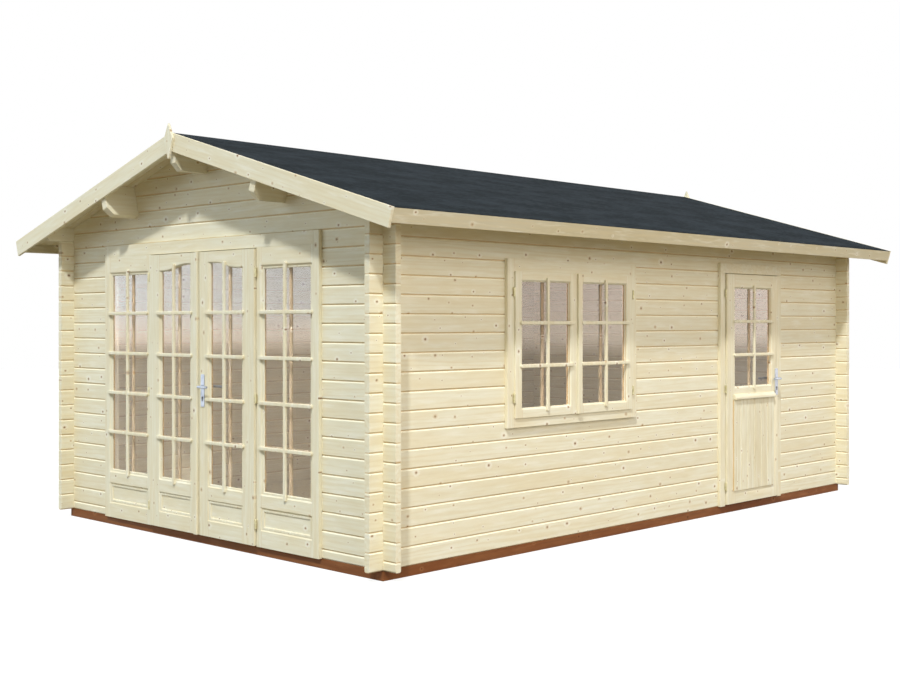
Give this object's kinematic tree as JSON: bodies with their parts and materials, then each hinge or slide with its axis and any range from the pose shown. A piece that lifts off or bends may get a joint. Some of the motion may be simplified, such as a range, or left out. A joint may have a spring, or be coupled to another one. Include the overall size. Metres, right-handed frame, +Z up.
{
  "type": "log cabin",
  "caption": "Gable-roofed garden log cabin with glazed double front doors between fixed side lights, a casement window and a half-glazed side door.",
  "frame": {"origin": "middle of the plan on the ground", "axes": "+Z up, the gable with the double doors faces -Y, the wall with the window and the side door faces +X"},
  "size_m": [4.276, 6.064, 2.806],
  "materials": {
    "spruce": "planed, untreated",
    "treated_timber": "brown impregnated",
    "roof_felt": "slate-grey mineral felt",
    "glass": "clear",
    "hinge_metal": "yellow passivated",
    "handle_metal": "satin"
  },
  "bodies": {
    "cabin": {"floor": "spruce", "side_wall_logs_odd": "spruce", "side_wall_logs_even": "spruce", "gable_wall_logs_odd": "spruce", "gable_wall_logs_even": "spruce", "wall_plates": "spruce", "ridge_purlin": "spruce", "side_purlins": "spruce", "roof_boards": "spruce", "eaves_fascias": "spruce", "barge_boards": "spruce", "gable_finials": "spruce", "door_jambs": "spruce", "door_heads": "spruce", "door_sills": "spruce", "sidelight_frames": "spruce", "sidelight_panels": "spruce", "inner_casing_uprights": "spruce", "inner_casing_tops": "spruce", "window_frame": "spruce", "window_sashes": "spruce", "foundation_side_beams": "treated_timber", "foundation_end_beams": "treated_timber", "floor_joists": "treated_timber", "left_roof_felt": "roof_felt", "right_roof_felt": "roof_felt", "fixed_panes": "glass", "frame_hinge_halves": "hinge_metal"},
    "front_left_door": {"front_left_door_leaf": "spruce", "front_left_door_panel": "spruce", "front_left_door_pane": "glass", "front_left_meeting_strip": "spruce", "front_left_hinge_halves": "hinge_metal"},
    "front_right_door": {"front_right_door_leaf": "spruce", "front_right_door_panel": "spruce", "front_right_door_pane": "glass", "front_right_hinge_halves": "hinge_metal", "front_handle_plates": "handle_metal"},
    "front_lever": {"front_lever_handles": "handle_metal"},
    "side_door": {"side_door_leaf": "spruce", "side_door_boards": "spruce", "side_door_pane": "glass", "side_door_drip_bar": "spruce", "side_door_hinge_halves": "hinge_metal", "side_handle_plates": "handle_metal"},
    "side_lever": {"side_lever_handles": "handle_metal"}
  },
  "joints": [
    {"name": "front_left_door_hinge", "type": "hinge", "parent": "cabin", "child": "front_left_door", "pos_m": [-0.61802, -2.781, 1], "axis": [0, 0, -1], "range_deg": [0, 105]},
    {"name": "front_right_door_hinge", "type": "hinge", "parent": "cabin", "child": "front_right_door", "pos_m": [0.61802, -2.781, 1], "axis": [0, 0, 1], "range_deg": [0, 105]},
    {"name": "front_lever_turn", "type": "hinge", "parent": "front_right_door", "child": "front_lever", "pos_m": [0.046, -2.767, 1.063], "axis": [0, 1, 0], "range_deg": [0, 35], "stiffness_Nm_per_rad": 2},
    {"name": "side_door_hinge", "type": "hinge", "parent": "cabin", "child": "side_door", "pos_m": [1.811, 0.846, 1], "axis": [0, 0, -1], "range_deg": [0, 105]},
    {"name": "side_lever_turn", "type": "hinge", "parent": "side_door", "child": "side_lever", "pos_m": [1.797, 1.596, 1.034], "axis": [1, 0, 0], "range_deg": [0, 35], "stiffness_Nm_per_rad": 2}
  ]
}
